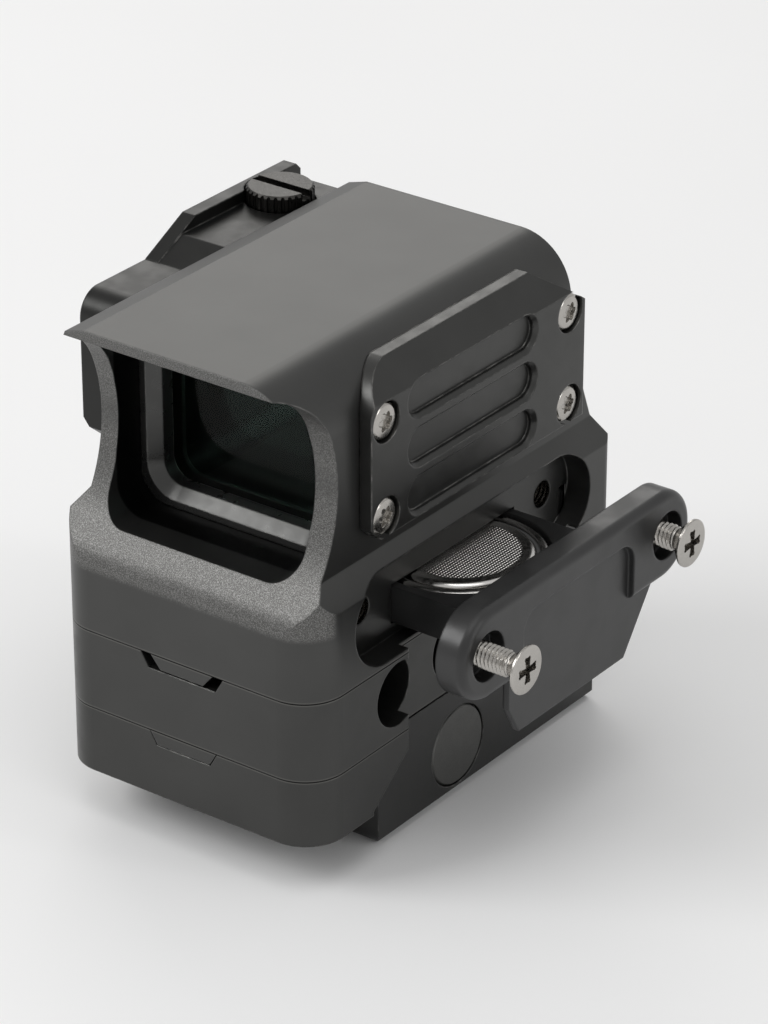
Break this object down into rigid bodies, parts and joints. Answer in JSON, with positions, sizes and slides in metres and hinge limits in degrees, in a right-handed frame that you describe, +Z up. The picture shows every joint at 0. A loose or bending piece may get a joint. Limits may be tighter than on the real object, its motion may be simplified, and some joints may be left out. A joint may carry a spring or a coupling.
{
  "type": "enclosed reflex sight",
  "caption": "Enclosed box-hood reflex sight on a riser, with a rail clamp, side battery drawer part-way out, coin cell and slotted elevation and windage knobs.",
  "frame": {"origin": "middle of the flat rail seat, on the rail's centreline above the cross bolt", "axes": "+Z up away from the rail, -Y the way the sight looks (front window), +Y towards the user, +X the battery drawer side"},
  "size_m": [0.0619, 0.0572, 0.0598],
  "materials": {
    "housing_finish": "satin dark grey anodised",
    "riser_finish": "satin dark grey anodised",
    "base_finish": "satin dark grey anodised",
    "jaw_finish": "satin dark grey anodised",
    "bolt_steel": "blackened steel",
    "nut_finish": "blackened, knurled",
    "cap_screw_steel": "blackened steel",
    "frame_finish": "milled, dark anodised",
    "coated_glass": "reflective coating, faint green",
    "clear_glass": "clear",
    "seal_rubber": "matte",
    "plate_finish": "satin dark grey anodised",
    "bright_screw_steel": "bright nickel plated",
    "adjuster_finish": "satin black anodised",
    "black_screw_steel": "blackened",
    "knob_finish": "knurled, black anodised",
    "brass_works": "turned brass",
    "emitter_metal": "black anodised",
    "emitter_glow": "red lens",
    "board_laminate": "green solder mask",
    "board_parts_black": "moulded black",
    "cover_plastic": "matte black",
    "button_rubber": "matte",
    "drawer_plastic": "satin black moulded",
    "cell_nickel": "nickel plated, dimpled cap",
    "cell_ring_plastic": "insulating ring",
    "contact_gold": "gold flashed"
  },
  "bodies": {
    "sight": {"main_housing": "housing_finish", "riser_block": "riser_finish", "rail_base": "base_finish", "jaw_guide_pins": "bolt_steel", "nut_washer": "bolt_steel", "riser_screws": "cap_screw_steel", "base_screws": "cap_screw_steel", "front_window_frame": "frame_finish", "front_glass": "coated_glass", "front_window_seal": "seal_rubber", "rear_window_seal": "seal_rubber", "rear_glass": "clear_glass", "rear_window_frame": "frame_finish", "side_plate": "plate_finish", "side_plate_screws": "bright_screw_steel", "side_plate_gasket": "seal_rubber", "adjuster_housing": "adjuster_finish", "adjuster_gasket": "seal_rubber", "adjuster_housing_screws": "black_screw_steel", "elevation_seal": "seal_rubber", "windage_seal": "seal_rubber", "circuit_board": "board_laminate", "board_parts": "board_parts_black", "rear_cover": "cover_plastic", "rear_cover_screws": "black_screw_steel", "can_contact": "contact_gold", "cap_contact": "contact_gold"},
    "clamp_jaw": {"clamp_jaw": "jaw_finish", "cross_bolt": "bolt_steel"},
    "clamp_nut": {"clamp_nut": "nut_finish"},
    "elevation_knob": {"elevation_knob": "knob_finish", "elevation_spindle": "bolt_steel"},
    "elevation_plunger": {"elevation_plunger": "brass_works"},
    "windage_knob": {"windage_knob": "knob_finish", "windage_spindle": "bolt_steel"},
    "windage_carriage": {"windage_carriage": "brass_works"},
    "emitter_block": {"emitter_block": "emitter_metal", "light_emitter": "emitter_glow", "emitter_lens": "clear_glass"},
    "brighter_button": {"brighter_button": "button_rubber"},
    "dimmer_button": {"dimmer_button": "button_rubber"},
    "battery_drawer": {"battery_drawer": "drawer_plastic", "drawer_seal": "seal_rubber", "coin_cell_can": "cell_nickel", "coin_cell_ring": "cell_ring_plastic", "coin_cell_cap": "cell_nickel"},
    "front_drawer_screw": {"front_drawer_screw": "bright_screw_steel"},
    "rear_drawer_screw": {"rear_drawer_screw": "bright_screw_steel"}
  },
  "joints": [
    {"name": "clamp_nut_turn", "type": "hinge", "parent": "sight", "child": "clamp_nut", "pos_m": [-0.0212, 0, 0.0002], "axis": [-1, 0, 0], "range_deg": [-2, 1082]},
    {"name": "clamp_jaw_slide", "type": "slide", "parent": "sight", "child": "clamp_jaw", "axis": [1, 0, 0], "range_m": [0, 0.003]},
    {"name": "elevation_turn", "type": "hinge", "parent": "sight", "child": "elevation_knob", "pos_m": [-0.0194, 0.015, 0.05], "axis": [0, 0, 1], "range_deg": [-361, 361]},
    {"name": "elevation_plunger_slide", "type": "slide", "parent": "sight", "child": "elevation_plunger", "axis": [0, 0, 1], "range_m": [-0.0005, 0.0005]},
    {"name": "emitter_rise", "type": "slide", "parent": "windage_carriage", "child": "emitter_block", "axis": [0, 0, 1], "range_m": [-0.00051, 0.00051]},
    {"name": "windage_turn", "type": "hinge", "parent": "sight", "child": "windage_knob", "pos_m": [-0.024, 0.017, 0.0384], "axis": [-1, 0, 0], "range_deg": [-361, 361]},
    {"name": "windage_carriage_slide", "type": "slide", "parent": "sight", "child": "windage_carriage", "axis": [-1, 0, 0], "range_m": [-0.0005, 0.0005]},
    {"name": "brighter_button_press", "type": "slide", "parent": "sight", "child": "brighter_button", "axis": [0, -1, 0], "range_m": [0, 0.0007], "stiffness_N_per_m": 400},
    {"name": "dimmer_button_press", "type": "slide", "parent": "sight", "child": "dimmer_button", "axis": [0, -1, 0], "range_m": [0, 0.0007], "stiffness_N_per_m": 400},
    {"name": "battery_drawer_slide", "type": "slide", "parent": "sight", "child": "battery_drawer", "axis": [1, 0, 0], "range_m": [-0.0132, 0.009]},
    {"name": "front_drawer_screw_drive", "type": "slide", "parent": "battery_drawer", "child": "front_drawer_screw", "axis": [-1, 0, 0], "range_m": [0, 0.005]},
    {"name": "rear_drawer_screw_drive", "type": "slide", "parent": "battery_drawer", "child": "rear_drawer_screw", "axis": [-1, 0, 0], "range_m": [0, 0.0033]}
  ],
  "couplings": [
    {"joint": "clamp_nut_turn", "follows": "clamp_jaw_slide", "rad_per_m": 6283.2},
    {"joint": "elevation_turn", "follows": "elevation_plunger_slide", "rad_per_m": 12566},
    {"joint": "emitter_rise", "follows": "elevation_plunger_slide", "ratio": 1},
    {"joint": "windage_turn", "follows": "windage_carriage_slide", "rad_per_m": 12566}
  ]
}
